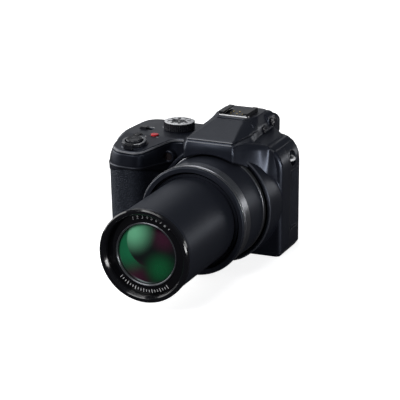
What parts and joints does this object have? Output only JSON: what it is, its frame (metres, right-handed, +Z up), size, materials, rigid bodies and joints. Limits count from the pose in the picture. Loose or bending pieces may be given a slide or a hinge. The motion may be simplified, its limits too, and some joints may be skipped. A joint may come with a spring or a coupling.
{
  "type": "bridge camera",
  "caption": "Bridge camera with deep hand grip, long telescoping zoom lens, viewfinder hump with pop-up flash and hot shoe, dials and keys.",
  "frame": {"origin": "mouth of the tripod socket in the flat base, straight under the lens axis", "axes": "+Z up, the lens points to -Y, +X is right seen from the front, the hand grip is at -X"},
  "size_m": [0.1308, 0.1889, 0.0944],
  "materials": {
    "body_plastic": "satin moulded",
    "grip_rubber": "leather grain",
    "gloss_black": "gloss",
    "barrel_satin": "satin anodised",
    "ring_metal": "satin",
    "steel": "brushed",
    "lens_glass": "coated",
    "clear_glass": "clear",
    "screen": "gloss",
    "board": "printed board",
    "button_black": "satin",
    "button_red": "gloss",
    "contact_gold": "polished",
    "battery_case": "matte",
    "brass_insert": "turned"
  },
  "bodies": {
    "camera_body": {"front_casing": "body_plastic", "rear_casing": "body_plastic", "top_cover": "body_plastic", "bottom_cover": "body_plastic", "grip_rubber": "grip_rubber", "thumb_rubber": "grip_rubber", "lens_collar": "barrel_satin", "collar_rings": "ring_metal", "guide_tube": "barrel_satin", "guide_rods": "steel", "rear_lens_group": "gloss_black", "chassis_plate": "steel", "sensor_board": "board", "main_board": "board", "zoom_motor": "steel", "flash_hinge_pin": "steel", "hot_shoe": "steel", "shoe_contacts": "contact_gold", "eyecup": "grip_rubber", "eyepiece_lens": "clear_glass", "evf_unit": "gloss_black", "lcd_window": "screen", "lcd_panel": "screen", "port_sockets": "steel", "strap_lugs": "steel", "lamp_window": "clear_glass", "battery": "battery_case", "memory_card": "battery_case", "tripod_socket": "brass_insert", "base_screws": "steel"},
    "zoom_barrel": {"zoom_tube": "barrel_satin", "front_bezel": "gloss_black", "name_ring": "gloss_black", "front_lens": "lens_glass"},
    "mid_barrel": {"mid_tube": "barrel_satin"},
    "cam": {"cam_ring": "barrel_satin"},
    "variator": {"variator_group": "gloss_black"},
    "focus": {"focus_group": "gloss_black"},
    "mode_dial": {"mode_dial": "button_black"},
    "shutter": {"shutter_button": "button_black"},
    "zoom_lever": {"zoom_lever": "button_black"},
    "record_key": {"record_button": "button_red"},
    "burst_key": {"burst_button": "button_black"},
    "power": {"power_switch": "button_black"},
    "flash_lid": {"flash_lid": "body_plastic", "flash_head": "button_black", "flash_window": "clear_glass"},
    "flash_key": {"flash_open_button": "button_black"},
    "diopter": {"diopter_dial": "button_black"},
    "cursor_pad": {"cursor_pad": "button_black"},
    "set_key": {"set_button": "button_black"},
    "rear_dial": {"rear_dial": "button_black"},
    "playback_key": {"playback_button": "button_black"},
    "lock_key": {"lock_button": "button_black"},
    "evf_key": {"evf_button": "button_black"},
    "trash_key": {"trash_button": "button_black"},
    "display_key": {"display_button": "button_black"},
    "port_cover": {"port_cover": "body_plastic"},
    "battery_door": {"battery_door": "body_plastic"},
    "door_latch": {"door_latch": "button_black"}
  },
  "joints": [
    {"name": "zoom_slide", "type": "slide", "parent": "camera_body", "child": "zoom_barrel", "axis": [0, 1, 0], "range_m": [0, 0.07]},
    {"name": "mid_slide", "type": "slide", "parent": "camera_body", "child": "mid_barrel", "axis": [0, 1, 0], "range_m": [0, 0.035]},
    {"name": "cam_turn", "type": "hinge", "parent": "camera_body", "child": "cam", "pos_m": [0, -0.04, 0.0378], "axis": [0, 1, 0], "range_deg": [0, 120]},
    {"name": "variator_slide", "type": "slide", "parent": "camera_body", "child": "variator", "axis": [0, 1, 0], "range_m": [0, 0.035]},
    {"name": "focus_slide", "type": "slide", "parent": "camera_body", "child": "focus", "axis": [0, 1, 0], "range_m": [-0.003, 0.003]},
    {"name": "mode_dial_turn", "type": "hinge", "parent": "camera_body", "child": "mode_dial", "pos_m": [-0.0428, 0, 0.079], "axis": [0, 0, 1], "continuous": true},
    {"name": "shutter_press", "type": "slide", "parent": "camera_body", "child": "shutter", "axis": [0, 0.1289, -0.9917], "range_m": [0, 0.0009], "stiffness_N_per_m": 400},
    {"name": "zoom_lever_turn", "type": "hinge", "parent": "camera_body", "child": "zoom_lever", "pos_m": [-0.0585, -0.04, 0.07406], "axis": [0, -0.1289, 0.9917], "range_deg": [-22, 22], "stiffness_Nm_per_rad": 0.05},
    {"name": "record_press", "type": "slide", "parent": "camera_body", "child": "record_key", "axis": [0, 0, -1], "range_m": [0, 0.0009], "stiffness_N_per_m": 400},
    {"name": "burst_press", "type": "slide", "parent": "camera_body", "child": "burst_key", "axis": [0, 0.1289, -0.9917], "range_m": [0, 0.0009], "stiffness_N_per_m": 400},
    {"name": "power_slide", "type": "slide", "parent": "camera_body", "child": "power", "axis": [1, 0, 0], "range_m": [0, 0.004]},
    {"name": "flash_lid_turn", "type": "hinge", "parent": "camera_body", "child": "flash_lid", "pos_m": [0, -0.0118, 0.0877], "axis": [-1, 0, 0], "range_deg": [0, 45]},
    {"name": "flash_open_press", "type": "slide", "parent": "camera_body", "child": "flash_key", "axis": [-1, 0, 0], "range_m": [0, 0.0009], "stiffness_N_per_m": 400},
    {"name": "diopter_turn", "type": "hinge", "parent": "camera_body", "child": "diopter", "pos_m": [0.0209, 0.0175, 0.0842], "axis": [1, 0, 0], "range_deg": [-120, 120]},
    {"name": "pad_press", "type": "slide", "parent": "camera_body", "child": "cursor_pad", "axis": [0, -1, 0], "range_m": [0, 0.0009], "stiffness_N_per_m": 400},
    {"name": "set_press", "type": "slide", "parent": "camera_body", "child": "set_key", "axis": [0, -1, 0], "range_m": [0, 0.0009], "stiffness_N_per_m": 400},
    {"name": "rear_dial_turn", "type": "hinge", "parent": "camera_body", "child": "rear_dial", "pos_m": [-0.06, 0.0128, 0.0673], "axis": [0, 0, 1], "continuous": true},
    {"name": "playback_press", "type": "slide", "parent": "camera_body", "child": "playback_key", "axis": [0, -1, 0], "range_m": [0, 0.0009], "stiffness_N_per_m": 400},
    {"name": "lock_press", "type": "slide", "parent": "camera_body", "child": "lock_key", "axis": [0, -1, 0], "range_m": [0, 0.0009], "stiffness_N_per_m": 400},
    {"name": "evf_press", "type": "slide", "parent": "camera_body", "child": "evf_key", "axis": [0, -1, 0], "range_m": [0, 0.0009], "stiffness_N_per_m": 400},
    {"name": "trash_press", "type": "slide", "parent": "camera_body", "child": "trash_key", "axis": [0, -1, 0], "range_m": [0, 0.0009], "stiffness_N_per_m": 400},
    {"name": "display_press", "type": "slide", "parent": "camera_body", "child": "display_key", "axis": [0, -1, 0], "range_m": [0, 0.0009], "stiffness_N_per_m": 400},
    {"name": "port_cover_turn", "type": "hinge", "parent": "camera_body", "child": "port_cover", "pos_m": [0.0408, -0.0019, 0.036], "axis": [0, 0, -1], "range_deg": [0, 95]},
    {"name": "battery_door_turn", "type": "hinge", "parent": "camera_body", "child": "battery_door", "pos_m": [-0.0519, -0.0195, 0.0009], "axis": [0, -1, 0], "range_deg": [0, 90]},
    {"name": "latch_slide", "type": "slide", "parent": "battery_door", "child": "door_latch", "axis": [-1, 0, 0], "range_m": [0, 0.0016]}
  ],
  "couplings": [
    {"joint": "mid_slide", "follows": "zoom_slide", "ratio": 0.5},
    {"joint": "variator_slide", "follows": "zoom_slide", "ratio": 0.5},
    {"joint": "cam_turn", "follows": "zoom_slide", "rad_per_m": 29.421}
  ]
}
